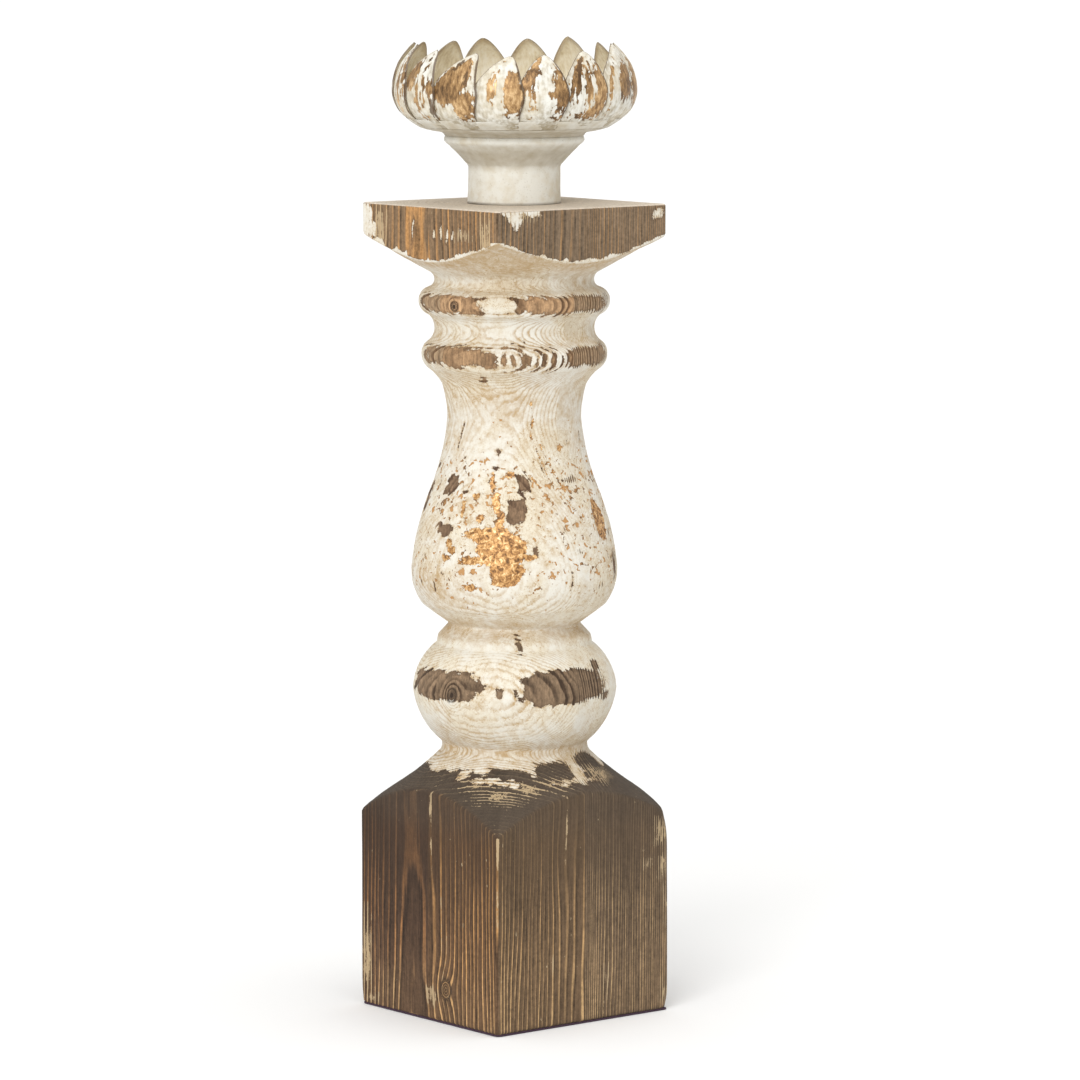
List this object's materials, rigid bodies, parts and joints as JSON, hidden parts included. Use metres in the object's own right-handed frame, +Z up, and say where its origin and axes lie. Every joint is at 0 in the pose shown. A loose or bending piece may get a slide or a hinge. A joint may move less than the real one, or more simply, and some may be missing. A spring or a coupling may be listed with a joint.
{
  "type": "candlestick",
  "caption": "Square-and-turned wooden candlestick with a painted sheet-metal lotus cup for a pillar candle.",
  "frame": {"origin": "middle of the footprint, on the surface that it stands on", "axes": "+Z up along the turning's axis, X and Y square to the faces of the base block"},
  "size_m": [0.1498, 0.1498, 0.604],
  "materials": {
    "turned_timber": "thick cream paint rubbed through to gold leaf and bare wood on the turning, dark stained brushed grain on the squares",
    "painted_wood": "cream white chalk paint with tan dirt in the corners",
    "dowel_wood": "bare beech",
    "painted_metal": "cream paint over spun sheet, tan dirt under the rim",
    "painted_petal": "cream paint rubbed through to gold bronze paint, dark brown edges",
    "steel": "dulled zinc plate",
    "felt": "thin dark purple felt"
  },
  "bodies": {
    "root": {"base_felt": "felt", "quarter_front": "turned_timber", "quarter_left": "turned_timber", "quarter_back": "turned_timber", "quarter_right": "turned_timber", "neck_dowel": "dowel_wood", "neck": "painted_wood", "dish": "painted_metal", "cup_washer": "steel", "cup_screw": "steel", "petal_01": "painted_petal", "petal_02": "painted_petal", "petal_03": "painted_petal", "petal_04": "painted_petal", "petal_05": "painted_petal", "petal_06": "painted_petal", "petal_07": "painted_petal", "petal_08": "painted_petal", "petal_09": "painted_petal", "petal_10": "painted_petal", "petal_11": "painted_petal", "petal_12": "painted_petal", "petal_13": "painted_petal", "petal_14": "painted_petal", "petal_15": "painted_petal", "petal_16": "painted_petal"}
  },
  "joints": []
}
